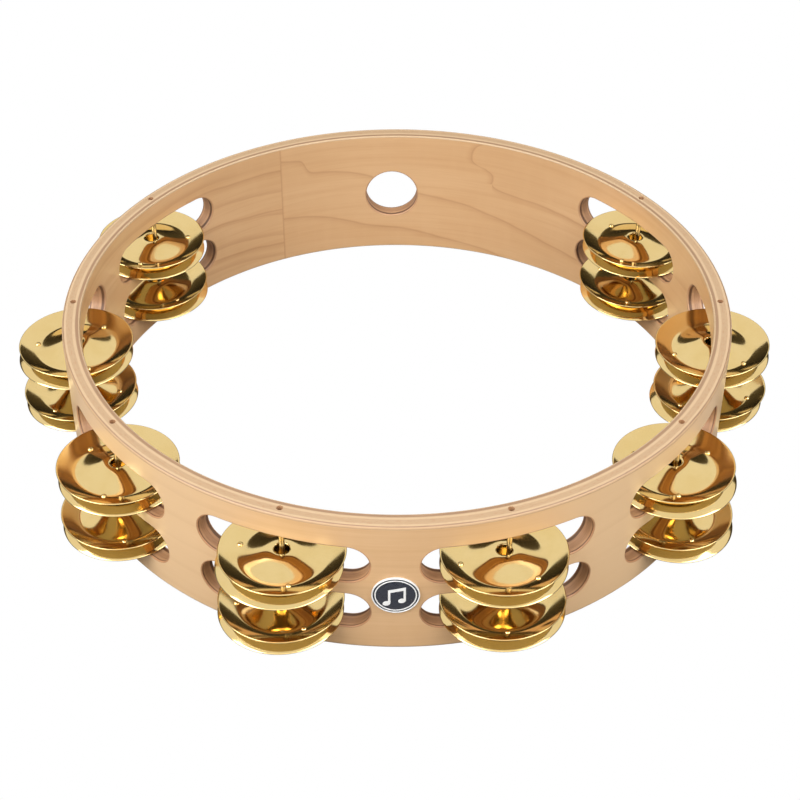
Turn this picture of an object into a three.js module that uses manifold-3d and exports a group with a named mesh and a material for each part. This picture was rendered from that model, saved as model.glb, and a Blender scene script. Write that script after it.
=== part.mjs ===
// A headless wooden tambourine: one plywood hoop with eight jingle stations in two rows, a thumb hole
// and a badge.
// Millimetres, +Z up. The hoop stands on its lower edge, and the badge faces -Y.
// The origin is the centre of the whole object's footprint, at the lower edge.
import * as THREE from 'three';
import { mergeVertices } from 'three/addons/utils/BufferGeometryUtils.js';
import Module from 'manifold-3d';

const wasm = await Module();
wasm.setup();

// Hoop
const HOOP_RADIUS = 126.6;
const HOOP_HEIGHT = 57.3;
const HOOP_WALL = 6.7;
const HOOP_EDGE_CHAMFER = 0.5;
const HOOP_SIDES = 72;

// Thumb hole, in the wide gap between stations at the back
const THUMB_HOLE_RADIUS = 11.3;
const THUMB_HOLE_ANGLE = 181.3;
const THUMB_HOLE_HEIGHT = 27.9;

// Slots: two rows of round-ended windows. The length is measured round the outer face.
const SLOT_LENGTH = 62.6;
const SLOT_HEIGHT = 15.8;
const SLOT_WEB = 5.8;
const SLOT_LOWER_FLOOR = 9.7;
const SLOT_ROWS = { lower: SLOT_LOWER_FLOOR, upper: SLOT_LOWER_FLOOR + SLOT_HEIGHT + SLOT_WEB };

// Pins: one long nail a station, driven down from the upper edge through both slots
const PIN_RADIUS = 1;
const PIN_BORE_RADIUS = 1.15;
const PIN_RECESS = 3;
const PIN_BOTTOM = 4;
const PIN_BORE_BOTTOM = 3.7;
const PIN_CIRCLE = HOOP_RADIUS - HOOP_WALL / 2;

// Jingles: thin brass discs with a valley pressed round them, between a low cone at the hole and a flared rim.
// They lie in pairs, valley to valley.
const JINGLE_RADIUS = 21.9;
const JINGLE_HOLE_RADIUS = 3;
const JINGLE_VALLEY_RADIUS = 15;
const JINGLE_RIM_HEIGHT = 3;
const JINGLE_CONE_HEIGHT = 3.5;
const JINGLE_SHEET = 0.7;
const JINGLE_SIDES = 16;
const JINGLE_GAP = 0.3;

// Badge on the front
const BADGE_RADIUS = 8.2;
const BADGE_THICKNESS = 0.9;
const BADGE_HEIGHT = 26.6;
const BADGE_GAP = 0.1;

// Stations run round the hoop from the front, about 36 degrees apart, and leave the back free for the hand.
// Each pair of jingles lies on its slot's floor as it fell. Its lean is how far it tips outward on its pin,
// in degrees. A slip is how far one of its discs sits off the pin's centre, sideways and outward.
const STATIONS = [
  {
    name: '1',
    angle: -124.3,
    upper: { lean: -1, upperSlip: [1.5, 0.5], lowerSlip: [1.4, 0.9] },
    lower: { lean: 0, upperSlip: [1, 1.3], lowerSlip: [1.1, 1.2] },
  },
  {
    name: '2',
    angle: -88.8,
    upper: { lean: 0, upperSlip: [0.1, 1], lowerSlip: [0.6, 1.5] },
    lower: { lean: 1, upperSlip: [0.3, 1.6], lowerSlip: [-0.3, 1.6] },
  },
  {
    name: '3',
    angle: -53.5,
    upper: { lean: -1, upperSlip: [0.4, 0.3], lowerSlip: [0.3, -0.1] },
    lower: { lean: 0, upperSlip: [-0.2, 0.8], lowerSlip: [-0.4, 0.5] },
  },
  {
    name: '4',
    angle: -18.1,
    upper: { lean: -1, upperSlip: [0, 0.2], lowerSlip: [-0.7, 1.4] },
    lower: { lean: -1, upperSlip: [-0.7, 1.5], lowerSlip: [-1.1, 1.3] },
  },
  {
    name: '5',
    angle: 18,
    upper: { lean: -2, upperSlip: [-1.6, 0], lowerSlip: [-1.5, -0.4] },
    lower: { lean: -4, upperSlip: [-1.5, 0.6], lowerSlip: [-1.4, -0.1] },
  },
  {
    name: '6',
    angle: 54,
    upper: { lean: -1, upperSlip: [-0.3, -0.7], lowerSlip: [-1.4, 0.9] },
    lower: { lean: 2, upperSlip: [0.1, 0.7], lowerSlip: [0.3, 1.6] },
  },
  {
    name: '7',
    angle: 89.5,
    upper: { lean: -3, upperSlip: [-0.9, -0.9], lowerSlip: [-0.6, -0.7] },
    lower: { lean: -3, upperSlip: [-0.5, 0.5], lowerSlip: [-0.8, -0.9] },
  },
  {
    name: '8',
    angle: 125.2,
    upper: { lean: 1, upperSlip: [-0.3, -1.5], lowerSlip: [0.1, -0.6] },
    lower: { lean: 2, upperSlip: [0.8, -0.6], lowerSlip: [-0.8, -0.8] },
  },
];

const wood = { color: 0xdcb48a, roughness: 0.42, metalness: 0 };
const brass = { color: 0xd9b65c, roughness: 0.14, metalness: 1 };
const pinBrass = { color: 0xcfae62, roughness: 0.2, metalness: 1 };
const blackEnamel = { color: 0x161618, roughness: 0.25, metalness: 0 };

// A closed geometry as a solid, and back
function toSolid(geometry) {
  geometry.deleteAttribute('normal');
  geometry.deleteAttribute('uv');
  const merged = mergeVertices(geometry, 1e-4);
  return new wasm.Manifold(new wasm.Mesh({
    numProp: 3,
    vertProperties: new Float32Array(merged.attributes.position.array),
    triVerts: new Uint32Array(merged.index.array),
  }));
}

function toGeometry(solid) {
  const mesh = solid.getMesh();
  const geometry = new THREE.BufferGeometry();
  geometry.setAttribute('position', new THREE.BufferAttribute(new Float32Array(mesh.vertProperties), 3));
  geometry.setIndex(new THREE.BufferAttribute(new Uint32Array(mesh.triVerts), 1));
  geometry.computeVertexNormals();
  return geometry;
}

// A closed outline of [radius, height] points, turned about +Z
function turned(outline, sides) {
  const points = [...outline, outline[0]].map(([r, h]) => new THREE.Vector2(r, h));
  return new THREE.LatheGeometry(points, sides).rotateX(Math.PI / 2);
}

function upright(radius, height, sides) {
  return new THREE.CylinderGeometry(radius, radius, height, sides).rotateX(Math.PI / 2);
}

const radians = THREE.MathUtils.degToRad;

function hoopRing() {
  const inner = HOOP_RADIUS - HOOP_WALL;
  const c = HOOP_EDGE_CHAMFER;
  return toSolid(turned([
    [inner + c, 0],
    [HOOP_RADIUS - c, 0],
    [HOOP_RADIUS, c],
    [HOOP_RADIUS, HOOP_HEIGHT - c],
    [HOOP_RADIUS - c, HOOP_HEIGHT],
    [inner + c, HOOP_HEIGHT],
    [inner, HOOP_HEIGHT - c],
    [inner, c],
  ], HOOP_SIDES));
}

// A slot is cut by a tool that points at the hoop's axis and swings round it
function slotCutter(angle, floor) {
  const end = SLOT_HEIGHT / 2;
  const swing = (SLOT_LENGTH / 2 - end) / HOOP_RADIUS;
  const plunge = HOOP_WALL * 3;
  const toolAt = (turn) => {
    const tool = new THREE.CylinderGeometry(end, end, plunge, 24);
    tool.translate(0, -PIN_CIRCLE, floor + end);
    return toSolid(tool.rotateZ(radians(angle) + turn));
  };
  const near = PIN_CIRCLE - plunge / 2;
  const far = PIN_CIRCLE + plunge / 2;
  const sweep = new THREE.Shape([
    new THREE.Vector2(-near * Math.sin(swing), -near * Math.cos(swing)),
    new THREE.Vector2(-far * Math.sin(swing), -far * Math.cos(swing)),
    new THREE.Vector2(far * Math.sin(swing), -far * Math.cos(swing)),
    new THREE.Vector2(near * Math.sin(swing), -near * Math.cos(swing)),
  ]);
  const between = new THREE.ExtrudeGeometry(sweep, { depth: SLOT_HEIGHT, bevelEnabled: false });
  between.translate(0, 0, floor);
  return toSolid(between.rotateZ(radians(angle))).add(toolAt(-swing)).add(toolAt(swing));
}

function pinBoreCutter(angle) {
  const top = HOOP_HEIGHT + 1;
  const bore = upright(PIN_BORE_RADIUS, top - PIN_BORE_BOTTOM, 8);
  bore.translate(0, -PIN_CIRCLE, (top + PIN_BORE_BOTTOM) / 2);
  return toSolid(bore.rotateZ(radians(angle)));
}

function thumbHoleCutter() {
  const hole = new THREE.CylinderGeometry(THUMB_HOLE_RADIUS, THUMB_HOLE_RADIUS, HOOP_WALL * 3, 32);
  hole.translate(0, -PIN_CIRCLE, THUMB_HOLE_HEIGHT);
  return toSolid(hole.rotateZ(radians(THUMB_HOLE_ANGLE)));
}

function hoopGeometry() {
  let hoop = hoopRing().subtract(thumbHoleCutter());
  for (const { angle } of STATIONS) {
    for (const floor of Object.values(SLOT_ROWS)) {
      hoop = hoop.subtract(slotCutter(angle, floor));
    }
    hoop = hoop.subtract(pinBoreCutter(angle));
  }
  return toGeometry(hoop);
}

// A jingle that opens upward, its valley on z = 0
function jingleGeometry() {
  const flat = 0.6;
  const slant = 0.3;
  return turned([
    [JINGLE_HOLE_RADIUS, JINGLE_CONE_HEIGHT - JINGLE_SHEET],
    [JINGLE_VALLEY_RADIUS - flat, 0],
    [JINGLE_VALLEY_RADIUS + flat, 0],
    [JINGLE_RADIUS, JINGLE_RIM_HEIGHT - JINGLE_SHEET],
    [JINGLE_RADIUS - slant, JINGLE_RIM_HEIGHT],
    [JINGLE_VALLEY_RADIUS + flat - slant, JINGLE_SHEET],
    [JINGLE_VALLEY_RADIUS - flat + slant, JINGLE_SHEET],
    [JINGLE_HOLE_RADIUS, JINGLE_CONE_HEIGHT],
  ], JINGLE_SIDES);
}

function part(name, geometry, finish) {
  const mesh = new THREE.Mesh(geometry, new THREE.MeshStandardMaterial(finish));
  mesh.name = name;
  return mesh;
}

function pin(name) {
  const top = HOOP_HEIGHT - PIN_RECESS;
  const mesh = part(name, upright(PIN_RADIUS, top - PIN_BOTTOM, 8), pinBrass);
  mesh.position.z = (top + PIN_BOTTOM) / 2;
  return mesh;
}

// Two jingles valley to valley, resting on the slot's floor: the upper opens up and the lower opens down
function jinglePair(name, floor, { lean, upperSlip, lowerSlip }) {
  const pair = new THREE.Group();
  const lift = (HOOP_WALL / 2 + Math.abs(lowerSlip[1])) * Math.abs(Math.sin(radians(lean)));
  pair.position.z = floor + JINGLE_GAP + lift + JINGLE_CONE_HEIGHT + JINGLE_GAP / 2;
  pair.rotation.x = radians(lean);
  const upper = part(`${name}_upper`, jingleGeometry(), brass);
  upper.position.set(upperSlip[0], -upperSlip[1], JINGLE_GAP / 2);
  const lower = part(`${name}_lower`, jingleGeometry(), brass);
  lower.rotation.x = Math.PI;
  lower.position.set(lowerSlip[0], -lowerSlip[1], -JINGLE_GAP / 2);
  pair.add(upper, lower);
  return pair;
}

function station({ name, angle, ...rows }) {
  const turn = new THREE.Group();
  turn.rotation.z = radians(angle);
  const onPinCircle = new THREE.Group();
  onPinCircle.position.y = -PIN_CIRCLE;
  onPinCircle.add(pin(`pin_${name}`));
  for (const [row, floor] of Object.entries(SLOT_ROWS)) {
    onPinCircle.add(jinglePair(`jingle_${name}_${row}_row`, floor, rows[row]));
  }
  turn.add(onPinCircle);
  return turn;
}

function badge() {
  const disc = new THREE.CylinderGeometry(BADGE_RADIUS, BADGE_RADIUS, BADGE_THICKNESS, 28);
  const mesh = part('badge', disc, blackEnamel);
  mesh.position.set(0, -(HOOP_RADIUS + BADGE_GAP + BADGE_THICKNESS / 2), BADGE_HEIGHT);
  return mesh;
}

const tambourine = new THREE.Group();
tambourine.add(part('hoop', hoopGeometry(), wood));
tambourine.add(badge());
tambourine.add(...STATIONS.map(station));

// Centre the footprint on the origin
tambourine.updateMatrixWorld(true);
const footprint = new THREE.Box3().setFromObject(tambourine, true).getCenter(new THREE.Vector3());
tambourine.position.set(-footprint.x, -footprint.y, 0);

export default tambourine;
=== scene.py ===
"""A headless wooden tambourine: maple plywood hoop, two rows of brass jingle pairs, pins and a badge.

Metres, +Z up, in the CAD model's frame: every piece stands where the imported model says.
"""
import math

import bmesh
import bpy
import numpy as np
from mathutils import Matrix, Vector


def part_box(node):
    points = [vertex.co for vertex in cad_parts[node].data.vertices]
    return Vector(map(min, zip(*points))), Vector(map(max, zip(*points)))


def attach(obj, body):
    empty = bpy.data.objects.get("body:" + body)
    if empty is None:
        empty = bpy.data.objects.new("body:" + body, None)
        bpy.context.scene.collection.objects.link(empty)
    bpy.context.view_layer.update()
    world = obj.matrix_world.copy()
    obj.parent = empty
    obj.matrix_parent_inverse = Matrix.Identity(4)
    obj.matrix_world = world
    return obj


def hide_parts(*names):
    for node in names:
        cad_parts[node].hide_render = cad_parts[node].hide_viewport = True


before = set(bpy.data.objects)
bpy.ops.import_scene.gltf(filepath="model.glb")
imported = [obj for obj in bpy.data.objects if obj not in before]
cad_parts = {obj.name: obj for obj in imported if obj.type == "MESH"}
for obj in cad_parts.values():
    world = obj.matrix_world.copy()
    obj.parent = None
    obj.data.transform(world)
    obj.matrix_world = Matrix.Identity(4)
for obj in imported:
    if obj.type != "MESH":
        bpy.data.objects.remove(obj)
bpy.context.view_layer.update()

MM = 0.001
NOTHING = 1e-9                                # a length or direction smaller than this counts as none
scene = bpy.context.scene

# ------------------------------------------------------------------ sizes, from the frame and the CAD design
hoop_low, hoop_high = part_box("hoop")
AXIS = Vector(((hoop_low.x + hoop_high.x) / 2, (hoop_low.y + hoop_high.y) / 2, 0))
RADIUS = (hoop_high.x - hoop_low.x) / 2
HEIGHT = hoop_high.z
WALL = 6.7 * MM
PIN_CIRCLE = RADIUS - WALL / 2
PIN_RADIUS = 1.0 * MM
PIN_BEVEL = 0.3 * MM

SLOT_LENGTH = 62.6 * MM                       # round the outer face
SLOT_HEIGHT = 15.8 * MM
SLOT_END = SLOT_HEIGHT / 2                    # the slots' ends are half circles
SLOT_REACH = SLOT_LENGTH / 2 - SLOT_END       # from a slot's middle to the centre of its end
SLOT_FLOORS = (9.7 * MM, 31.3 * MM)
SLOT_MIDDLES = tuple(floor + SLOT_END for floor in SLOT_FLOORS)

THUMB_RADIUS = 11.3 * MM
THUMB_ANGLE = math.radians(181.3)
THUMB_MIDDLE = 27.9 * MM
THUMB_SPLIT = 6 * MM                          # the height at which the mesh divides under the thumb hole

OUTER_ROUND = 1.1 * MM                        # rounding of the hoop's upper and lower edges, on each face
INNER_ROUND = 0.6 * MM
SLOT_ROUND = 0.6 * MM                         # rounding of the slots' and the thumb hole's rims
PIN_HOLE_RADIUS = 1.15 * MM
PIN_HOLE_DEPTH = 2.6 * MM
PIN_HOLE_FOOT = 0.9                           # the hole's taper, as shares of its radius below and above
PIN_HOLE_MOUTH = 1.08

STATION_NAMES = [str(n) for n in range(1, 9)]
ROWS = ("upper", "lower")
PAIR = ("upper", "lower")


def node_middle(node):
    low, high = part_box(node)
    return (low + high) / 2


def station_angle(name):
    """The angle of a station round the hoop, from the front, positive towards +X."""
    offset = node_middle("pin_" + name) - AXIS
    return math.atan2(offset.x, -offset.y)


STATION_ANGLES = {name: station_angle(name) for name in STATION_NAMES}


# ------------------------------------------------------------------ camera
SENSOR_WIDTH = 36                             # lens and sensor in mm, pitch and roll in radians
CAMERA_LENS = 78.15
CAMERA_PITCH = 0.6872
CAMERA_ROLL = 0.0031
CAMERA_DISTANCE = 0.69456
CAMERA_TARGET = AXIS + Vector((1.25 * MM, 0, 7.28 * MM))


def make_camera():
    data = bpy.data.cameras.new("camera")
    data.sensor_width = SENSOR_WIDTH
    data.lens = CAMERA_LENS
    camera = bpy.data.objects.new("camera", data)
    scene.collection.objects.link(camera)
    forward = Vector((0, math.cos(CAMERA_PITCH), -math.sin(CAMERA_PITCH)))
    right = Vector((1, 0, 0))
    up = Vector((0, math.sin(CAMERA_PITCH), math.cos(CAMERA_PITCH)))
    right, up = (
        math.cos(CAMERA_ROLL) * right + math.sin(CAMERA_ROLL) * up,
        -math.sin(CAMERA_ROLL) * right + math.cos(CAMERA_ROLL) * up,
    )
    turn = Matrix((right, up, -forward)).transposed().to_4x4()
    camera.matrix_world = Matrix.Translation(CAMERA_TARGET - forward * CAMERA_DISTANCE) @ turn
    scene.camera = camera


# ------------------------------------------------------------------ node helpers
class Nodes:
    """A short way to write a material's nodes."""

    def __init__(self, name):
        self.material = bpy.data.materials.new(name)
        self.material.use_nodes = True
        self.tree = self.material.node_tree
        self.tree.nodes.clear()
        self.shader = self.new("ShaderNodeBsdfPrincipled")
        self.output = self.new("ShaderNodeOutputMaterial")
        self.link(self.shader.outputs["BSDF"], self.output.inputs["Surface"])

    def new(self, kind, **settings):
        node = self.tree.nodes.new(kind)
        for key, value in settings.items():
            setattr(node, key, value)
        return node

    def link(self, source, target):
        """Joins a socket to a target, or sets the target to a number or a colour."""
        if isinstance(source, (int, float)):
            target.default_value = source
        elif isinstance(source, tuple):
            target.default_value = (*source, 1)
        else:
            self.tree.links.new(source, target)

    def math(self, operation, a, b=0.0, clamp=False):
        node = self.new("ShaderNodeMath", operation=operation, use_clamp=clamp)
        for value, socket in zip((a, b), node.inputs):
            self.link(value, socket)
        return node.outputs[0]

    def plus(self, a, b):
        return self.math("ADD", a, b)

    def minus(self, a, b):
        return self.math("SUBTRACT", a, b)

    def times(self, a, b):
        return self.math("MULTIPLY", a, b)

    def apart(self, a, b):
        return self.math("ABSOLUTE", self.minus(a, b))

    def map_range(self, kind, value, low, high, to_low, to_high):
        node = self.new("ShaderNodeMapRange", interpolation_type=kind)
        for number, socket in zip((value, low, high, to_low, to_high), node.inputs):
            self.link(number, socket)
        return node.outputs[0]

    def smooth(self, value, low, high, to_low=0.0, to_high=1.0):
        return self.map_range("SMOOTHSTEP", value, low, high, to_low, to_high)

    def spread(self, value, low, high, to_low=0.0, to_high=1.0):
        return self.map_range("LINEAR", value, low, high, to_low, to_high)

    def curve(self, value, points):
        """A smooth curve through points, from the first number of each to the second."""
        low, high = min(x for x, y in points), max(x for x, y in points)
        bottom, top = min(y for x, y in points), max(y for x, y in points)
        node = self.new("ShaderNodeFloatCurve")
        curve = node.mapping.curves[0]
        while len(curve.points) < len(points):
            curve.points.new(0.5, 0.5)
        for point, (x, y) in zip(curve.points, sorted(points)):
            point.location = ((x - low) / (high - low), (y - bottom) / (top - bottom))
        node.mapping.update()
        self.link(self.spread(value, low, high), node.inputs["Value"])
        return self.spread(node.outputs[0], 0.0, 1.0, bottom, top)

    def noise(self, vector, scale, detail=2.0, roughness=0.5):
        node = self.new("ShaderNodeTexNoise")
        self.link(vector, node.inputs["Vector"])
        node.inputs["Scale"].default_value = scale
        node.inputs["Detail"].default_value = detail
        node.inputs["Roughness"].default_value = roughness
        return node.outputs["Fac"]

    def grain(self, places, scales, detail=2.0, roughness=0.5):
        """Noise over three coordinates, each multiplied by its own scale."""
        node = self.new("ShaderNodeCombineXYZ")
        for value, scale, socket in zip(places, scales, node.inputs):
            self.link(value if scale == 1 else self.times(value, scale), socket)
        return self.noise(node.outputs[0], 1.0, detail, roughness)

    def mix(self, factor, a, b, blend="MIX"):
        node = self.new("ShaderNodeMix", data_type="RGBA", blend_type=blend)
        self.link(factor, node.inputs["Factor"])
        self.link(a, node.inputs["A"])
        self.link(b, node.inputs["B"])
        return node.outputs["Result"]

    def ramp(self, value, stops):
        node = self.new("ShaderNodeValToRGB")
        ramp = node.color_ramp
        while len(ramp.elements) < len(stops):
            ramp.elements.new(0.5)
        for element, (place, colour) in zip(ramp.elements, stops):
            element.position = place
            element.color = (*colour, 1)
        self.link(value, node.inputs["Fac"])
        return node.outputs["Color"]

    def bump(self, height, strength, distance, normal=None):
        node = self.new("ShaderNodeBump")
        node.inputs["Strength"].default_value = strength
        node.inputs["Distance"].default_value = distance
        self.link(height, node.inputs["Height"])
        if normal is not None:
            self.link(normal, node.inputs["Normal"])
        return node.outputs["Normal"]

    def place(self):
        """A point's place in its piece's own frame."""
        return self.new("ShaderNodeTexCoord").outputs["Object"]

    def split(self, vector):
        node = self.new("ShaderNodeSeparateXYZ")
        self.link(vector, node.inputs[0])
        return node.outputs[:]

    def radius(self, x, y):
        return self.math("SQRT", self.plus(self.times(x, x), self.times(y, y)))

    def around(self, turn):
        """Radius, angle and height of a point about the piece's axis. The angle starts at turn."""
        x, y, z = self.split(self.place())
        sin, cos = math.sin(turn), math.cos(turn)
        across = self.minus(self.times(x, -cos), self.times(y, sin))
        facing = self.minus(self.times(y, cos), self.times(x, sin))
        angle = self.plus(self.math("ARCTAN2", across, facing), math.pi + turn)
        return self.radius(x, y), angle, z

    def coat(self, weight, roughness):
        self.shader.inputs["Coat Weight"].default_value = weight
        self.shader.inputs["Coat Roughness"].default_value = roughness

    def finish(self, colour, roughness, normal):
        self.link(colour, self.shader.inputs["Base Color"])
        self.link(roughness, self.shader.inputs["Roughness"])
        self.link(normal, self.shader.inputs["Normal"])
        return self.material


# ------------------------------------------------------------------ wood
MAPLE = (0.580, 0.360, 0.182)
MAPLE_LIGHT = (0.620, 0.398, 0.212)
MAPLE_WARM = (0.530, 0.312, 0.146)
MAPLE_PAINTED_SHEEN = (0.665, 0.450, 0.250)            # painted sheen: the outer face, paler from the sides of the front onwards
MAPLE_SPECK = (0.36, 0.165, 0.075)            # the dark specks in the sanded edges
MAPLE_SHADE = (0.78, 0.70, 0.62)              # a growth line takes this share of the wood's colour
INNER_TINT = (1.0, 0.96, 0.92)
OUTER_TINT = (1.10, 1.09, 1.07)
BURNT = (0.22, 0.100, 0.062)
BURNT_STREAK = (0.17, 0.072, 0.048)
ROUTED_TINT = (1.00, 0.80, 0.68)
ROUTED_GLUE = 0.50                            # the glue lines' share of their colour in the routed walls
GRAIN_DEPTH = 0.2 * MM

SEAM_DEGREES = 205.1                          # where the ends of the inner veneer meet
SEAM_START = math.radians(SEAM_DEGREES) - 2 * math.pi
OUTER_SHIFT = 0.77                            # metres along the same maple, so that the two faces differ

# Growth lines of the veneer inside the back, as hoop angle in degrees and height in mm. One runs upright.
GROWTH_LINES = (
    (False, ((204.9, 51.3), (200.8, 49.6), (198.4, 43.2), (193.9, 42.2), (187, 38.4), (175.2, 28.4),
             (168.2, 26.1), (160.2, 22), (145.9, 14.9), (128, 11))),
    (False, ((204.9, 22), (195.4, 18.6), (186.3, 12.5), (176.8, 9.1), (167.1, 4.9), (156.3, 0.9), (148, -3))),
    (True, ((160.4, 57.3), (164.2, 48.6), (161, 44.5), (159.5, 41.3), (159.8, 37.7))),
    (False, ((159.8, 37.7), (156.2, 34.6), (146.5, 33), (128, 29))),
    (False, ((-132, 49), (-148, 47.6), (-154.9, 47))),
    (False, ((-132, 30.5), (-147.4, 28.4), (-154.9, 27.4))),
    (False, ((-132, 14), (-146.9, 11.1), (-154.9, 9.9))),
)
LINE_EDGE = 0.9                               # a line darkens over this many mm, and fades out by LINE_FADE
LINE_FADE = 5.0
LINE_CORE = 0.75
CORE_SHARE = 0.62                             # the share of a line's darkness that is in its sharp core
LINE_WOBBLE = 0.9
MM_PER_DEGREE = 2.2                           # round the inner face
LINES_MIDDLE = 172.0                          # drawn lines lie about this angle, and faint ones beyond them


def growth_line(n, degrees, height, upright, points):
    """How dark one growth line makes a point: sharp on its upper side, fading below over a few mm."""
    if upright:
        line = n.curve(height, [(z, a) for a, z in points])
        away = n.times(n.minus(degrees, line), MM_PER_DEGREE)
        run, ends = height, [z for a, z in points]
    else:
        away = n.minus(n.curve(degrees, points), height)
        run, ends = degrees, [a for a, z in points]
    body = n.times(n.smooth(away, 0.0, LINE_EDGE), n.smooth(away, LINE_EDGE, LINE_FADE, 1.0, 0.0))
    core = n.smooth(n.apart(away, LINE_EDGE / 2), 0.0, LINE_CORE, 1.0, 0.0)
    mark = n.plus(n.times(core, CORE_SHARE), n.times(n.times(body, body), 1 - CORE_SHARE))
    within = n.times(n.math("GREATER_THAN", run, min(ends)), n.math("LESS_THAN", run, max(ends)))
    return n.times(mark, within)


def drawn_lines(n, degrees, height):
    """The growth lines that show inside the back."""
    lines = 0.0
    for upright, points in GROWTH_LINES:
        lines = n.math("MAXIMUM", lines, growth_line(n, degrees, height, upright, points))
    return lines


def faint_lines(n, along, z, degrees, height, inside, outside):
    """Faint lines elsewhere, which wander slowly as they run round."""
    wander = n.grain((along, z, outside), (6.5, 9.0, 1), 1.0, 0.4)
    phase = n.math("FRACT", n.plus(n.times(height, 0.082), n.times(wander, 3.1)))
    line = n.times(n.smooth(phase, 0.0, 0.06), n.smooth(phase, 0.06, 0.32, 1.0, 0.0))
    presence = n.grain((along, z, 4.0), (9.0, 22.0, 1))
    beyond = n.smooth(n.apart(degrees, LINES_MIDDLE), 30.0, 46.0, 0.0, 0.5)
    strength = n.plus(n.times(beyond, inside), n.times(outside, 0.16))
    return n.times(line, n.times(n.smooth(presence, 0.4, 0.62), strength))


def seam_line(n, degrees):
    """The thin line where the ends of the inner veneer meet, with the shade beside it."""
    shade = n.smooth(n.minus(SEAM_DEGREES, degrees), 0.0, 0.42, 1.0, 0.0)
    sharp = n.smooth(n.minus(degrees, SEAM_DEGREES - 360), 0.0, 0.1, 1.0, 0.0)
    return n.math("MAXIMUM", shade, sharp)


def veneer_material():
    """Lacquered maple veneer, its fibres and growth lines running round the hoop."""
    n = Nodes("maple_veneer")
    radius, angle, z = n.around(SEAM_START)
    outside = n.math("GREATER_THAN", radius, RADIUS - WALL / 2)
    inside = n.minus(1.0, outside)
    degrees = n.times(angle, 180 / math.pi)
    along = n.plus(n.times(angle, RADIUS), n.times(outside, OUTER_SHIFT))
    wobble = n.grain((along, z, 0.3), (55.0, 160.0, 1))
    height = n.plus(n.times(z, 1 / MM), n.spread(wobble, 0.0, 1.0, -LINE_WOBBLE, LINE_WOBBLE))
    drawn = n.times(drawn_lines(n, degrees, height), inside)
    marks = n.math("MAXIMUM", drawn, faint_lines(n, along, z, degrees, height, inside, outside))

    fibre = n.grain((along, z, radius), (45.0, 2100.0, 1), 3.0, 0.6)
    streak = n.grain((along, z, 2.0), (9.0, 330.0, 1), 3.0, 0.6)
    cloud = n.grain((along, z, 9.0), (16.0, 48.0, 1), 3.0)
    figure = n.grain((along, z, 5.0), (150.0, 30.0, 1))
    colour = n.mix(n.smooth(cloud, 0.3, 0.72), MAPLE, MAPLE_LIGHT)
    colour = n.mix(n.smooth(streak, 0.42, 0.75, 0.0, 0.5), colour, MAPLE_WARM)
    colour = n.mix(n.smooth(fibre, 0.4, 0.8, 0.0, 0.34), colour, MAPLE_WARM)
    colour = n.mix(n.smooth(figure, 0.45, 0.75, 0.0, 0.22), colour, MAPLE_LIGHT)
    # Painted sheen: the outer face turns paler from 12 degrees off the front, fully so by 38 degrees and on
    # round the hoop.
    painted_sheen_share = n.smooth(n.math("ABSOLUTE", degrees), 12.0, 38.0, 0.0, 0.85)
    colour = n.mix(n.times(painted_sheen_share, outside), colour, MAPLE_PAINTED_SHEEN)
    colour = n.mix(1.0, colour, n.mix(outside, INNER_TINT, OUTER_TINT), "MULTIPLY")
    colour = n.mix(marks, colour, MAPLE_SHADE, "MULTIPLY")
    seam = n.times(seam_line(n, degrees), inside)
    colour = n.mix(n.times(seam, 0.8), colour, MAPLE_SHADE, "MULTIPLY")

    n.coat(0.5, 0.25)
    grooves = n.bump(fibre, 0.08, GRAIN_DEPTH)
    return n.finish(colour, n.smooth(fibre, 0.2, 0.8, 0.36, 0.48), n.bump(marks, -0.06, GRAIN_DEPTH, grooves))


# The plies across the wall, as depth in mm from the outer face and colour.
OUTER_PLY = (0.49, 0.315, 0.175)
PALE_PLY = (0.49, 0.345, 0.208)
CORE_PLY = (0.40, 0.268, 0.155)
GLUE_LINE = (0.27, 0.160, 0.088)
PLIES = (
    (0.0, OUTER_PLY), (0.35, OUTER_PLY), (0.50, GLUE_LINE), (0.70, GLUE_LINE), (0.90, PALE_PLY),
    (1.55, PALE_PLY), (1.75, CORE_PLY), (3.80, CORE_PLY), (4.10, PALE_PLY), (4.80, PALE_PLY),
    (5.15, GLUE_LINE), (5.95, GLUE_LINE), (6.25, PALE_PLY), (6.7, PALE_PLY),
)
PLY_WANDER = 0.18 * MM


def ply_colours(n, radius, speckle, tint=(1.0, 1.0, 1.0), glue_share=1.0):
    """The colour across the wall's thickness, tinted, with the glue lines darker by a share."""
    face = n.plus(RADIUS, n.spread(speckle, 0.0, 1.0, -PLY_WANDER, PLY_WANDER))
    stops = []
    for mm, colour in PLIES:
        share = glue_share if colour == GLUE_LINE else 1.0
        stops.append((mm * MM / WALL, tuple(c * t * share for c, t in zip(colour, tint))))
    return n.ramp(n.math("DIVIDE", n.minus(face, radius), WALL, clamp=True), stops)


def edge_material():
    """The sanded and lacquered upper and lower edges, where the plies show as rings."""
    n = Nodes("maple_ply_edge")
    radius, angle, z = n.around(SEAM_START)
    arc = n.times(angle, RADIUS)
    streak = n.grain((arc, radius, z), (70.0, 1700.0, 1), 3.0, 0.6)
    grit = n.grain((arc, radius, z), (520.0, 1900.0, 1), 2.0, 0.6)
    depth = n.minus(RADIUS, radius)
    core = n.times(n.smooth(depth, 1.5 * MM, 1.8 * MM), n.smooth(depth, 3.5 * MM, 3.8 * MM, 1.0, 0.0))
    speckle = n.times(n.smooth(grit, 0.5, 0.7), n.plus(n.times(core, 0.30), 0.10))
    colour = n.mix(speckle, ply_colours(n, radius, streak), MAPLE_SPECK)
    colour = n.mix(n.smooth(streak, 0.5, 0.8, 0.0, 0.25), colour, MAPLE_LIGHT)
    n.coat(0.2, 0.3)
    return n.finish(colour, n.smooth(grit, 0.3, 0.7, 0.42, 0.58), n.bump(grit, 0.12, GRAIN_DEPTH))


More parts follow.
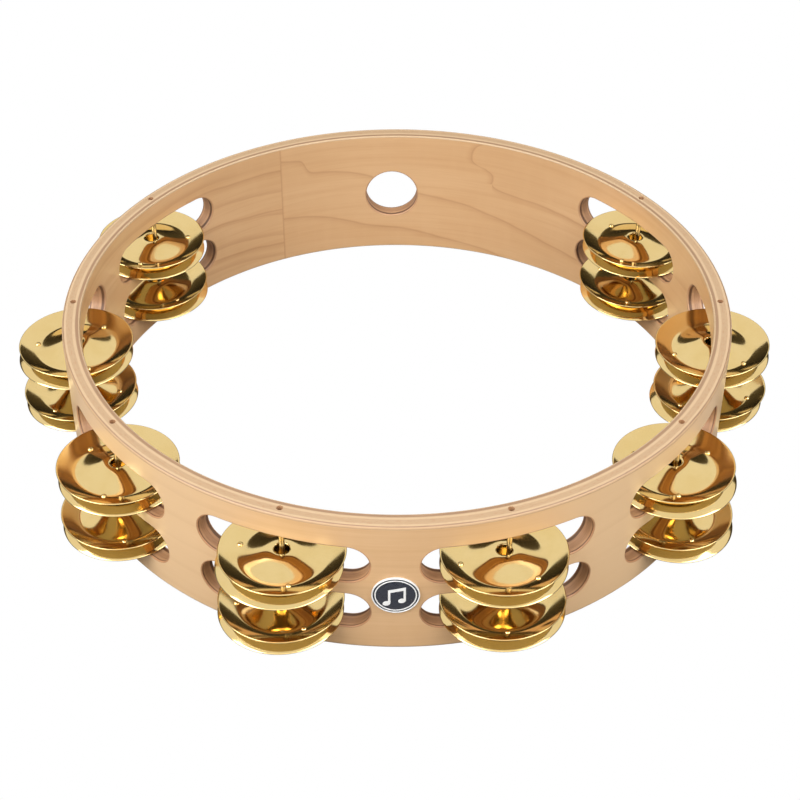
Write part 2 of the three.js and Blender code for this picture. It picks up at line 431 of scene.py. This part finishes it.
def routed_material():
    """The openings' routed walls: darker, a little burnt, with the plies as dark and pale lines."""
    n = Nodes("maple_routed_wall")
    radius, angle, z = n.around(SEAM_START)
    arc = n.times(angle, RADIUS)
    streak = n.grain((arc, z, radius), (200.0, 200.0, 2500.0), 3.0, 0.65)
    burn = n.grain((arc, z, 3.0), (70.0, 70.0, 1))
    colour = ply_colours(n, radius, streak, ROUTED_TINT, ROUTED_GLUE)
    colour = n.mix(n.smooth(burn, 0.4, 0.75, 0.0, 0.25), colour, BURNT)
    colour = n.mix(n.smooth(streak, 0.48, 0.72, 0.0, 0.40), colour, BURNT_STREAK)
    n.coat(0.2, 0.3)
    return n.finish(colour, n.smooth(streak, 0.3, 0.7, 0.42, 0.6), n.bump(streak, 0.25, GRAIN_DEPTH))


# ------------------------------------------------------------------ metal and enamel
BRASS = (0.92, 0.700, 0.325)
BRASS_HAZE = (0.89, 0.660, 0.285)
PIN_BRASS = (0.42, 0.37, 0.28)
PIN_BRASS_DARK = (0.36, 0.31, 0.23)
DARK_ENAMEL = (0.016, 0.020, 0.032)
DARK_ENAMEL_TINT = (0.022, 0.026, 0.040)
WHITE_ENAMEL = (0.86, 0.86, 0.85)
WHITE_ENAMEL_TINT = (0.80, 0.80, 0.79)


def brass_material():
    """Polished sheet brass with faint spun lines, haze and fine rubbed marks."""
    n = Nodes("polished_brass")
    place = n.place()
    x, y = n.split(place)[:2]
    radius = n.radius(x, y)
    spun = n.grain((radius, x, y), (5200.0, 30.0, 1), 3.0, 0.6)
    marks = n.grain((radius, x, y), (900.0, 260.0, 1), 3.0, 0.7)
    haze = n.noise(place, 90.0, 4.0, 0.6)
    colour = n.mix(n.smooth(haze, 0.35, 0.7), BRASS, BRASS_HAZE)
    roughness = n.plus(n.smooth(haze, 0.3, 0.75, 0.09, 0.13), n.smooth(marks, 0.6, 0.8, 0.0, 0.04))
    n.shader.inputs["Metallic"].default_value = 1.0
    return n.finish(colour, roughness, n.bump(spun, 0.02, 0.03 * MM))


def pin_material():
    """Drawn brass-plated wire, with fine lines along it."""
    n = Nodes("pin_brass")
    drawn = n.grain(n.split(n.place()), (4000.0, 4000.0, 120.0), 3.0, 0.6)
    colour = n.mix(n.smooth(drawn, 0.3, 0.7), PIN_BRASS, PIN_BRASS_DARK)
    n.shader.inputs["Metallic"].default_value = 1.0
    return n.finish(colour, n.smooth(drawn, 0.3, 0.7, 0.20, 0.32), n.bump(drawn, 0.05, 0.05 * MM))


def enamel_material(name, colour, tint, roughness):
    """Printed enamel under gloss: a faint mottle in colour and finish."""
    n = Nodes(name)
    mottle = n.noise(n.place(), 700.0, 3.0, 0.6)
    colour = n.mix(n.smooth(mottle, 0.3, 0.7), colour, tint)
    n.coat(0.4, 0.1)
    rough = n.smooth(mottle, 0.3, 0.7, roughness, roughness + 0.1)
    return n.finish(colour, rough, n.bump(mottle, 0.04, 0.1 * MM))


# ------------------------------------------------------------------ mesh helpers
def stand(name, mesh, place):
    """An object with this mesh, standing where a matrix says."""
    shown = bpy.data.objects.new(name, mesh)
    scene.collection.objects.link(shown)
    shown.matrix_world = place
    bpy.context.view_layer.update()
    return shown


def piece(name, vertices, faces, materials, face_materials=None):
    """A smooth-shaded piece whose origin lies on the hoop's axis."""
    mesh = bpy.data.meshes.new(name)
    mesh.from_pydata([tuple(v) for v in vertices], [], faces)
    for material in materials:
        mesh.materials.append(material)
    if face_materials is not None:
        mesh.polygons.foreach_set("material_index", face_materials)
    mesh.polygons.foreach_set("use_smooth", [True] * len(mesh.polygons))
    mesh.validate()
    mesh.update()
    return stand(name, mesh, Matrix.Translation(AXIS))


def without_repeats(corners):
    """A face's corners, each named once where neighbours fall together."""
    return [v for k, v in enumerate(corners) if v != corners[k - 1]]


def apply_modifiers(shown):
    bpy.context.view_layer.update()
    graph = bpy.context.evaluated_depsgraph_get()
    mesh = bpy.data.meshes.new_from_object(shown.evaluated_get(graph))
    shown.modifiers.clear()
    old = shown.data
    shown.data = mesh
    bpy.data.meshes.remove(old)


def dress(shown, body, slot, *nodes):
    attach(shown, body)
    if nodes:
        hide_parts(*nodes)


# ------------------------------------------------------------------ the hoop
VENEER, EDGE, ROUTED = 0, 1, 2
ARC_STEPS = 10
STRAIGHT_STEPS = 14
RIM_STEPS = 4
PILLAR_STEP = math.radians(1.6)


class Column:
    """One upright line of the hoop's wall. It meets two openings, each shut here or with a floor and a roof.

    It stands sideways of a radial plane by the same distance all through the wall, as a routed end does.
    Each opening is the height of its middle, with the radius and direction of its outline here, or None.
    """

    def __init__(self, middle_angle, sideways, openings):
        self.turns = [(1.0, middle_angle, sideways)]
        self.openings = openings

    @classmethod
    def between(cls, first, second, share):
        """A column of solid wall, part of the way from the first column to the second."""
        made = cls(0, 0, [])
        made.turns = [(1 - share, *first.turns[0][1:]), (share, *second.turns[0][1:])]
        splits = [(1 - share) * a[0] + share * b[0] for a, b in zip(first.openings, second.openings)]
        made.openings = [(split, None) for split in splits]
        return made

    def a_turn_later(self):
        middle, side = self.turns[0][1:]
        return Column(middle + 2 * math.pi, side, self.openings)

    def angle(self, radius):
        return sum(share * (middle + math.asin(side / radius)) for share, middle, side in self.turns)

    def point(self, radius, height):
        angle = self.angle(radius)
        return (radius * math.sin(angle), -radius * math.cos(angle), height)


def quarter_turn(steps):
    return [math.pi / 2 * k / steps for k in range(steps + 1)]


def outline_steps(reach):
    """An outline's upper half from left to right: the offset of its arc's centre, and the direction."""
    quarter = quarter_turn(ARC_STEPS)
    left = [(-reach, -math.cos(a), math.sin(a)) for a in quarter]
    right = [(reach, math.cos(a), math.sin(a)) for a in reversed(quarter)]
    if reach == 0:
        return left + right[1:]
    inner = [(-reach + 2 * reach * k / STRAIGHT_STEPS, 0.0, 1.0) for k in range(1, STRAIGHT_STEPS)]
    return left + inner + right


def opening_columns(middle_angle, radius, reach, middles, open_ones):
    """Columns across one station's openings, cut with the tool pointing at the axis."""
    columns = []
    for along, across, up in outline_steps(reach):
        shape = (radius, across, up)
        openings = [(middle, shape if is_open else None) for middle, is_open in zip(middles, open_ones)]
        columns.append(Column(middle_angle + along / RADIUS, (radius + SLOT_ROUND) * across, openings))
    return columns


def hoop_columns():
    groups = [
        opening_columns(STATION_ANGLES[name], SLOT_END, SLOT_REACH, SLOT_MIDDLES, (True, True))
        for name in STATION_NAMES
    ]
    groups.append(opening_columns(THUMB_ANGLE, THUMB_RADIUS, 0, (THUMB_SPLIT, THUMB_MIDDLE), (False, True)))
    starts = [group[0] for group in groups[1:]] + [groups[0][0].a_turn_later()]
    columns = []
    for group, second in zip(groups, starts):
        first = group[-1]
        steps = max(3, round((second.angle(RADIUS) - first.angle(RADIUS)) / PILLAR_STEP))
        columns += group + [Column.between(first, second, j / steps) for j in range(1, steps)]
    return columns


def edge_profile():
    """Radius and height across the upper edge, from the outer face to the inner face."""
    profile = []
    for a in quarter_turn(RIM_STEPS):
        profile.append((RADIUS - OUTER_ROUND * (1 - math.cos(a)), HEIGHT - OUTER_ROUND * (1 - math.sin(a))))
    for a in reversed(quarter_turn(RIM_STEPS)):
        radius = RADIUS - WALL + INNER_ROUND * (1 - math.cos(a))
        profile.append((radius, HEIGHT - INNER_ROUND * (1 - math.sin(a))))
    return profile


def rim_profile():
    """Offset from an opening's outline and depth into the wall, from the outer face to the inner face."""
    arc = quarter_turn(RIM_STEPS)
    outer = [(SLOT_ROUND * (1 - math.sin(a)), SLOT_ROUND * (1 - math.cos(a))) for a in arc]
    inner = [(offset, WALL - depth) for offset, depth in reversed(outer)]
    return outer + [(0.0, WALL / 2)] + inner


class HoopMesh:
    """The hoop's vertices and faces, with the material of each face."""

    def __init__(self):
        self.vertices, self.faces, self.kinds = [], [], []
        self.upper = edge_profile()
        self.lower = [(radius, HEIGHT - height) for radius, height in self.upper]
        self.rims = rim_profile()
        built = [self.build(column) for column in hoop_columns()]
        for here, there in zip(built, built[1:] + built[:1]):
            self.join(here, there)

    def add(self, point):
        self.vertices.append(point)
        return len(self.vertices) - 1

    def quad(self, corners, kind):
        corners = without_repeats(corners)
        if len(corners) >= 3:
            self.faces.append(corners)
            self.kinds.append(kind)

    def build(self, column):
        """The vertices of a column: along both edges, and along each opening's floor and roof."""
        return {
            "upper": [self.add(column.point(*spot)) for spot in self.upper],
            "lower": [self.add(column.point(*spot)) for spot in self.lower],
            "openings": [self.build_opening(column, middle, shape) for middle, shape in column.openings],
        }

    def build_opening(self, column, middle, shape):
        """An opening's floor and roof from the outer face to the inner, and whether it is open."""
        if shape is None:
            ends = [self.add(column.point(RADIUS, middle)), self.add(column.point(RADIUS - WALL, middle))]
            return ends, ends, False
        radius, across, up = shape
        floors, roofs = [], []
        for offset, depth in self.rims:
            reach = radius + offset
            spot = Column(column.turns[0][1], reach * across, [])
            roofs.append(self.add(spot.point(RADIUS - depth, middle + reach * up)))
            at_tip = abs(up) < NOTHING
            floors.append(roofs[-1] if at_tip else self.add(spot.point(RADIUS - depth, middle - reach * up)))
        return floors, roofs, True

    def stack(self, made, end):
        """A column's vertices up one face of the wall: the outer face at end 0, the inner face at end -1."""
        stack = [made["lower"][end]]
        for floors, roofs, _ in made["openings"]:
            stack += [floors[end], roofs[end]]
        return stack + [made["upper"][end]]

    def join(self, here, there):
        """The faces between two neighbouring columns."""
        for end in (0, -1):
            near, far = self.stack(here, end), self.stack(there, end)
            for low in range(0, len(near), 2):
                corners = (near[low], far[low], far[low + 1], near[low + 1])
                self.quad(corners if end == 0 else corners[::-1], VENEER)
        (up, up_far), (down, down_far) = [(here[edge], there[edge]) for edge in ("upper", "lower")]
        for j in range(len(self.upper) - 1):
            self.quad((up[j], up_far[j], up_far[j + 1], up[j + 1]), EDGE)
            self.quad((down[j + 1], down_far[j + 1], down_far[j], down[j]), EDGE)
        for near, far in zip(here["openings"], there["openings"]):
            if near[-1] and far[-1]:
                self.join_opening(*near[:2], *far[:2])

    def join_opening(self, floor, roof, floor_far, roof_far):
        for j in range(len(self.rims) - 1):
            self.quad((roof[j], roof[j + 1], roof_far[j + 1], roof_far[j]), ROUTED)
            self.quad((floor[j], floor_far[j], floor_far[j + 1], floor[j + 1]), ROUTED)


def drill_pin_holes(hoop):
    """The eight small recessed holes in the upper edge, over the pins."""
    cutter = bmesh.new()
    for angle in STATION_ANGLES.values():
        spot = Vector((PIN_CIRCLE * math.sin(angle), -PIN_CIRCLE * math.cos(angle), HEIGHT))
        bmesh.ops.create_cone(
            cutter, cap_ends=True, segments=24, radius1=PIN_HOLE_RADIUS * PIN_HOLE_FOOT,
            radius2=PIN_HOLE_RADIUS * PIN_HOLE_MOUTH, depth=PIN_HOLE_DEPTH * 2,
            matrix=Matrix.Translation(spot),
        )
    mesh = bpy.data.meshes.new("cutter")
    cutter.to_mesh(mesh)
    cutter.free()
    mesh.materials.append(hoop.data.materials[ROUTED])
    tool = stand("cutter", mesh, hoop.matrix_world)
    cut = hoop.modifiers.new("pin holes", "BOOLEAN")
    cut.operation = "DIFFERENCE"
    cut.solver = "EXACT"
    cut.material_mode = "TRANSFER"
    cut.object = tool
    apply_modifiers(hoop)
    bpy.data.objects.remove(tool)


def make_hoop(materials):
    made = HoopMesh()
    hoop = piece("maple_hoop", made.vertices, made.faces, materials, made.kinds)
    drill_pin_holes(hoop)
    weight = hoop.modifiers.new("weighted normals", "WEIGHTED_NORMAL")
    weight.keep_sharp = True
    dress(hoop, "hoop", "maple", "hoop")


# ------------------------------------------------------------------ jingles
JINGLE_HOLE = 2.9 * MM
JINGLE_SHEET = 0.5 * MM
JINGLE_CONE_HEIGHT = 3.5 * MM
JINGLE_RIM_HEIGHT = 3.0 * MM
JINGLE_STEPS = 120
CURVE_STEPS = 4
# The hole's lip, as how far out from the hole's edge and how far below the cone's top.
LIP = ((0, 0.28 * MM), (0.12 * MM, 0.1 * MM), (0.35 * MM, 0))
LIP_BULGE = 0.8                               # of half the sheet
# Slope in degrees at each radius in mm: flat at the hole, steep down the cone to the valley where a pair
# touches, then up the flare to the rim.
CONE_SLOPES = (
    (3.6, 4), (4.4, 8), (5, 12), (6, 17), (7, 19.5), (10, 20), (12, 17.5), (13, 14.5), (14, 9), (15, 0),
)
FLARE_SLOPES = ((15, 0), (15.6, 10), (16.5, 16), (18, 20), (20, 24), (21.65, 27))

PIP_COUNT = 3
PIP_CIRCLE = 15.3 * MM
PIP_RADIUS = 1.05 * MM
PIP_FLATNESS = 0.62
# Which way the pips lie, in degrees from +X, for the jingles whose pips show most. The rest turn by steps.
PIP_TURNS = {
    "1_upper_row_upper": 18, "2_upper_row_upper": 55, "4_upper_row_upper": 41, "5_upper_row_upper": 75,
    "8_upper_row_upper": 4, "4_lower_row_upper": 63, "5_lower_row_upper": 34,
}
FIRST_TURN = 50.0
TURN_STEP = 131.0


def climb(slopes, rise):
    """Points of a curve that starts at height 0 and has these slopes, scaled to climb by rise in all."""
    points = [(slopes[0][0] * MM, 0.0)]
    for (r0, s0), (r1, s1) in zip(slopes, slopes[1:]):
        step = (r1 - r0) * MM / CURVE_STEPS
        for k in range(CURVE_STEPS):
            slope = math.radians(s0 + (s1 - s0) * (k + 0.5) / CURVE_STEPS)
            r, h = points[-1]
            points.append((r + step, h + step * math.tan(slope)))
    scale = rise / points[-1][1]
    return [(r, h * scale) for r, h in points]


def sheet_middle():
    """The middle of the sheet: the hole's lip, the cone down to the valley, and the flare up to the rim."""
    top = JINGLE_CONE_HEIGHT - JINGLE_SHEET
    lip = [(JINGLE_HOLE + out, top - down) for out, down in LIP]
    cone = [(r, top - h) for r, h in climb(CONE_SLOPES, top)]
    flare = climb(FLARE_SLOPES, JINGLE_RIM_HEIGHT - JINGLE_SHEET)
    return lip + cone + flare[1:]


def sheet_profile():
    """The closed profile round the sheet: along the top side, round the rim, back along the underside."""
    middle = sheet_middle()
    half = JINGLE_SHEET / 2
    top, under = [], []
    for k, (r, h) in enumerate(middle):
        before, after = middle[max(k - 1, 0)], middle[min(k + 1, len(middle) - 1)]
        run, rise = after[0] - before[0], after[1] - before[1]
        length = math.hypot(run, rise)
        normal = (-rise / length, run / length)
        top.append((r + normal[0] * half, h + normal[1] * half))
        under.append((r - normal[0] * half, h - normal[1] * half))
    (r0, h0), (r1, h1) = middle[-2:]
    slope = math.atan2(h1 - h0, r1 - r0)
    turn = [slope + math.pi / 2 - math.pi * k / 6 for k in range(1, 6)]
    rim = [(r1 + half * math.cos(a), h1 + half * math.sin(a)) for a in turn]
    hole = (middle[0][0] - half * LIP_BULGE, middle[0][1])
    return top + rim + under[::-1] + [hole]


def add_pips(mesh):
    """Small pressed pips round the valley."""
    full = bmesh.new()
    full.from_mesh(mesh)
    for k in range(PIP_COUNT):
        angle = 2 * math.pi * k / PIP_COUNT
        spot = Vector((PIP_CIRCLE * math.cos(angle), PIP_CIRCLE * math.sin(angle), JINGLE_SHEET / 2))
        shape = Matrix.Translation(spot) @ Matrix.Diagonal((1, 1, PIP_FLATNESS, 1))
        bmesh.ops.create_uvsphere(full, u_segments=20, v_segments=10, radius=PIP_RADIUS, matrix=shape)
    bmesh.ops.recalc_face_normals(full, faces=full.faces)
    full.to_mesh(mesh)
    full.free()


def jingle_mesh(material):
    """An upward-opening jingle, its axis on the origin and its mid-sheet valley at height 0."""
    profile = sheet_profile()
    count = len(profile)
    vertices, faces = [], []
    for step in range(JINGLE_STEPS):
        angle = 2 * math.pi * step / JINGLE_STEPS
        vertices += [(r * math.cos(angle), r * math.sin(angle), h) for r, h in profile]
        here, there = step * count, (step + 1) % JINGLE_STEPS * count
        for k in range(count):
            after = (k + 1) % count
            faces.append((here + after, here + k, there + k, there + after))
    mesh = bpy.data.meshes.new("jingle")
    mesh.from_pydata(vertices, [], faces)
    add_pips(mesh)
    mesh.materials.append(material)
    mesh.polygons.foreach_set("use_smooth", [True] * len(mesh.polygons))
    mesh.update()
    return mesh


def disc_place(node):
    """How a CAD jingle lies, from its vertices: its middle, its axis towards its open side, and its base."""
    points = np.array([v.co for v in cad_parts[node].data.vertices], float)
    points = np.unique(points.round(7), axis=0)
    middle = points.mean(0)
    offset = points - middle
    axis = np.linalg.eigh(offset.T @ offset)[1][:, 0]
    along = offset @ axis
    across = np.linalg.norm(offset - np.outer(along, axis), axis=1)
    rim = along[across > across.max() * 0.95].mean()
    base = along[across < across.max() * 0.9].mean()
    if rim < base:
        axis, along = -axis, -along
    return Vector(middle), Vector(axis), along.min()


def make_jingles(material):
    mesh = jingle_mesh(material)
    places = [f"{name}_{row}_row_{part}" for name in STATION_NAMES for row in ROWS for part in PAIR]
    for k, place in enumerate(places):
        node = "jingle_" + place
        middle, axis, base = disc_place(node)
        upright = axis.z > 0
        lean = Vector((0, 0, 1 if upright else -1)).rotation_difference(axis).to_matrix().to_4x4()
        flip = Matrix.Rotation(0 if upright else math.pi, 4, "X")
        turn = Matrix.Rotation(math.radians(PIP_TURNS.get(place, FIRST_TURN + k * TURN_STEP)), 4, "Z")
        valley = Matrix.Translation(middle + axis * (base + JINGLE_SHEET / 2))
        shown = stand("brass_" + node, mesh, valley @ lean @ flip @ turn)
        dress(shown, node, "brass", node)


# ------------------------------------------------------------------ pins
def make_pins(material):
    for name in STATION_NAMES:
        low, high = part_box("pin_" + name)
        pin = bmesh.new()
        bmesh.ops.create_cone(
            pin, cap_ends=True, segments=28, radius1=PIN_RADIUS, radius2=PIN_RADIUS, depth=high.z - low.z,
        )
        ends = [e for e in pin.edges if abs(e.verts[0].co.z - e.verts[1].co.z) < NOTHING]
        bmesh.ops.bevel(pin, geom=ends, offset=PIN_BEVEL, segments=3, affect="EDGES", profile=0.5)
        mesh = bpy.data.meshes.new("pin_wire_" + name)
        pin.to_mesh(mesh)
        pin.free()
        mesh.polygons.foreach_set("use_smooth", [len(p.vertices) == 4 for p in mesh.polygons])
        mesh.materials.append(material)
        shown = stand("pin_wire_" + name, mesh, Matrix.Translation((low + high) / 2))
        dress(shown, "hoop", "pin_brass", "pin_" + name)


# ------------------------------------------------------------------ badge
BADGE_RADIUS = 8.2 * MM
BADGE_DISC = 7.8 * MM
BADGE_STEPS = 64
BADGE_LIP = 0.15 * MM
BADGE_FOOT = 0.02 * MM                        # heights over the wood: the badge's foot, disc and raised print
BADGE_FACE = 0.72 * MM
PRINT_FOOT = 0.6 * MM
BAND_FACE = 0.83 * MM
NOTE_FACE = 0.80 * MM
BADGE_BANDS = (
    ("badge_rim", 7.72 * MM, BADGE_RADIUS, BADGE_FOOT),
    ("badge_ring", 6.72 * MM, 7.16 * MM, PRINT_FOOT),
)

# The note's shapes in mm, before they are scaled and shifted to the badge's middle.
NOTE_BEAM = ((-2.05, 2.15), (2.55, 3.25), (2.55, 2.25), (-2.05, 1.15))
NOTE_STEM_LEFT = ((-2.05, 1.9), (-1.45, 1.9), (-1.45, -2.6), (-2.05, -2.6))
NOTE_STEM_RIGHT = ((1.95, 2.9), (2.55, 2.9), (2.55, -1.6), (1.95, -1.6))
NOTE_HEAD_LEFT = (-2.45, -2.6)
NOTE_HEAD_RIGHT = (1.55, -1.6)
HEAD_LENGTH = 1.02                            # half the head's length and height
HEAD_HEIGHT = 0.78
HEAD_LEAN = math.radians(20)
HEAD_STEPS = 24
NOTE_SCALE = 1.3
NOTE_SHIFT = (0.1, -0.3)


def on_badge(x, z, proud):
    """A point of the badge: x round the hoop's outer face, z up, and how proud of the wood it stands."""
    angle = x / RADIUS
    reach = RADIUS + proud
    return (reach * math.sin(angle), -reach * math.cos(angle), z)


def badge_ring(name, inner, outer, low, high, material, middle):
    """A round band on the badge with rounded edges, from one radius to another. From 0 it is a full disc."""
    lip = min(BADGE_LIP, (high - low) / 2)
    if inner == 0:
        profile = [
            (0, high), (outer * 0.5, high), (outer - lip, high), (outer - lip * 0.3, high - lip * 0.3),
            (outer, high - lip), (outer, low), (0, low),
        ]
    else:
        profile = [
            (inner, low), (inner, high - lip), (inner + lip * 0.4, high), (outer - lip * 0.4, high),
            (outer, high - lip), (outer, low),
        ]
    vertices, faces = [], []
    index = {}

    def vertex(k, step):
        r, proud = profile[k]
        key = (k, 0) if r == 0 else (k, step % BADGE_STEPS)
        if key not in index:
            angle = 2 * math.pi * key[1] / BADGE_STEPS
            index[key] = len(vertices)
            vertices.append(on_badge(r * math.cos(angle), middle + r * math.sin(angle), proud))
        return index[key]

    count = len(profile)
    for step in range(BADGE_STEPS):
        for k in range(count if inner else count - 1):
            after = (k + 1) % count
            corners = [vertex(k, step), vertex(after, step), vertex(after, step + 1), vertex(k, step + 1)]
            corners = without_repeats(corners)
            faces.append(corners[::-1] if inner == 0 else corners)
    return piece(name, vertices, faces, [material])


def raised_outline(name, outline, material, middle):
    """A flat raised shape of the note, from its outline."""
    dx, dy = NOTE_SHIFT
    spots = [((NOTE_SCALE * x + dx) * MM, middle + (NOTE_SCALE * y + dy) * MM) for x, y in outline]
    count = len(spots)
    vertices = [on_badge(*spot, proud) for proud in (PRINT_FOOT, NOTE_FACE) for spot in spots]
    faces = [tuple(range(count))[::-1], tuple(range(count, 2 * count))]
    faces += [(k, (k + 1) % count, (k + 1) % count + count, k + count) for k in range(count)]
    shape = piece(name, vertices, faces, [material])
    full = bmesh.new()
    full.from_mesh(shape.data)
    bmesh.ops.recalc_face_normals(full, faces=full.faces)
    full.to_mesh(shape.data)
    full.free()
    shape.data.polygons.foreach_set("use_smooth", [False] * len(shape.data.polygons))
    return shape


def note_head(x, y):
    """The outline of a leaning oval head about its middle."""
    outline = []
    for k in range(HEAD_STEPS):
        turn = 2 * math.pi * k / HEAD_STEPS
        a, b = HEAD_LENGTH * math.cos(turn), HEAD_HEIGHT * math.sin(turn)
        outline.append((
            x + a * math.cos(HEAD_LEAN) - b * math.sin(HEAD_LEAN),
            y + a * math.sin(HEAD_LEAN) + b * math.cos(HEAD_LEAN),
        ))
    return outline


def make_badge(dark, white):
    """A round printed badge: white rim and ring, dark disc, and a plain beamed note."""
    middle = node_middle("badge").z
    disc = badge_ring("badge_disc", 0, BADGE_DISC, BADGE_FOOT, BADGE_FACE, dark, middle)
    dress(disc, "hoop", "badge_enamel", "badge")
    for name, inner, outer, low in BADGE_BANDS:
        band = badge_ring(name, inner, outer, low, BAND_FACE, white, middle)
        dress(band, "hoop", "badge_enamel")
    note = {
        "beam": NOTE_BEAM,
        "stem_left": NOTE_STEM_LEFT,
        "stem_right": NOTE_STEM_RIGHT,
        "head_left": note_head(*NOTE_HEAD_LEFT),
        "head_right": note_head(*NOTE_HEAD_RIGHT),
    }
    for part, outline in note.items():
        shape = raised_outline("badge_note_" + part, outline, white, middle)
        dress(shape, "hoop", "badge_enamel")


# ------------------------------------------------------------------ studio
FLOOR_RADIUS = 4.0
FLOOR_DROP = 0.2 * MM                         # the floor lies this far under the hoop
FLOOR_DARK = (0.23, 0.23, 0.23)
FLOOR_LIGHT = (0.25, 0.25, 0.25)
WHITE = (1, 1, 1, 1)

SKY = (                                       # light from the room, by degrees above the horizon
    (6, (0.020, 0.016, 0.010)),
    (30, (0.085, 0.070, 0.042)),
)
CEILING_LIGHT = 0.79                          # the broad panel overhead: its brightness, height and edges
CEILING_HEIGHT = 0.55
CEILING_SIDE = 1.15
CEILING_FRONT = 1.3
CEILING_BACK = 0.9

SOFTBOX_ELEVATION = 40                        # degrees above the horizon, and metres from the hoop
SOFTBOX_REACH = 1.6
SOFTBOXES = (                                 # degrees from the front towards +X, width, height, brightness
    ("front_softbox", 0, 1.8, 1.0, 1.2),
    ("right_softbox", 58, 1.2, 1.0, 4.2),
    ("left_softbox", -58, 1.2, 1.0, 6.2),
)


def floor_material():
    """Pale paper. It shows as even white, and lights the object as a mid grey does."""
    n = Nodes("studio_floor")
    paper = n.noise(n.place(), 40.0, 3.0)
    n.link(n.mix(paper, FLOOR_DARK, FLOOR_LIGHT), n.shader.inputs["Base Color"])
    n.shader.inputs["Roughness"].default_value = 0.9
    n.shader.inputs["Specular IOR Level"].default_value = 0.1
    white = n.new("ShaderNodeEmission")
    white.inputs["Color"].default_value = WHITE
    white.inputs["Strength"].default_value = 1.0
    show = n.new("ShaderNodeMixShader")
    n.link(n.new("ShaderNodeLightPath").outputs["Is Camera Ray"], show.inputs[0])
    n.link(n.shader.outputs["BSDF"], show.inputs[1])
    n.link(white.outputs[0], show.inputs[2])
    n.link(show.outputs[0], n.output.inputs["Surface"])
    return n.material


def make_floor():
    mesh = bpy.data.meshes.new("studio_floor")
    disc = bmesh.new()
    bmesh.ops.create_circle(disc, cap_ends=True, segments=96, radius=FLOOR_RADIUS)
    disc.to_mesh(mesh)
    disc.free()
    mesh.materials.append(floor_material())
    floor = stand("studio_floor", mesh, Matrix.Translation(AXIS - Vector((0, 0, FLOOR_DROP))))


def make_world():
    """A white room as the camera sees it. As light it is dark, so that the lamps alone show in the brass."""
    world = bpy.data.worlds.new("studio")
    scene.world = world
    world.use_nodes = True
    tree = world.node_tree
    tree.nodes.clear()
    output = tree.nodes.new("ShaderNodeOutputWorld")
    seen = tree.nodes.new("ShaderNodeBackground")
    lit = tree.nodes.new("ShaderNodeBackground")
    mix = tree.nodes.new("ShaderNodeMixShader")
    path = tree.nodes.new("ShaderNodeLightPath")
    coord = tree.nodes.new("ShaderNodeTexCoord")
    split = tree.nodes.new("ShaderNodeSeparateXYZ")
    ramp = tree.nodes.new("ShaderNodeValToRGB")
    for element, (degrees, colour) in zip(ramp.color_ramp.elements, SKY):
        element.position = math.sin(math.radians(degrees))
        element.color = (*colour, 1)
    lit.inputs["Strength"].default_value = 1.0
    seen.inputs["Color"].default_value = WHITE
    seen.inputs["Strength"].default_value = 1.0
    for source, target in (
        (coord.outputs["Generated"], split.inputs[0]),
        (split.outputs["Z"], ramp.inputs["Fac"]),
        (ramp.outputs["Color"], lit.inputs["Color"]),
        (path.outputs["Is Camera Ray"], mix.inputs["Fac"]),
        (lit.outputs[0], mix.inputs[1]),
        (seen.outputs[0], mix.inputs[2]),
        (mix.outputs[0], output.inputs["Surface"]),
    ):
        tree.links.new(source, target)


def area_light(name, place, width, height, radiance):
    """An evenly bright panel, hidden from the camera. It faces down until it is turned."""
    data = bpy.data.lights.new(name, "AREA")
    data.shape = "RECTANGLE"
    data.size, data.size_y = width, height
    data.energy = radiance * math.pi * width * height
    light = bpy.data.objects.new(name, data)
    scene.collection.objects.link(light)
    light.location = place
    light.visible_camera = False
    return light


def make_ceiling():
    """One broad white panel over the hoop."""
    place = (AXIS.x, AXIS.y + (CEILING_BACK - CEILING_FRONT) / 2, CEILING_HEIGHT)
    area_light("ceiling", place, 2 * CEILING_SIDE, CEILING_FRONT + CEILING_BACK, CEILING_LIGHT)


def make_softboxes():
    """Soft lights on the front half of a circle round the hoop, all facing it."""
    target = Vector((AXIS.x, AXIS.y, HEIGHT / 2))
    e = math.radians(SOFTBOX_ELEVATION)
    for name, azimuth, width, height, radiance in SOFTBOXES:
        a = math.radians(azimuth)
        outward = Vector((math.sin(a) * math.cos(e), -math.cos(a) * math.cos(e), math.sin(e)))
        light = area_light(name, target + SOFTBOX_REACH * outward, width, height, radiance)
        light.rotation_euler = (-outward).to_track_quat("-Z", "Y").to_euler()


def make_studio():
    make_floor()
    make_world()
    make_ceiling()
    make_softboxes()
    scene.view_settings.view_transform = "Standard"
    scene.view_settings.look = "None"


# ------------------------------------------------------------------ everything
make_camera()
make_hoop([veneer_material(), edge_material(), routed_material()])
make_jingles(brass_material())
make_pins(pin_material())
make_badge(
    enamel_material("dark_enamel", DARK_ENAMEL, DARK_ENAMEL_TINT, 0.25),
    enamel_material("white_enamel", WHITE_ENAMEL, WHITE_ENAMEL_TINT, 0.3),
)
make_studio()
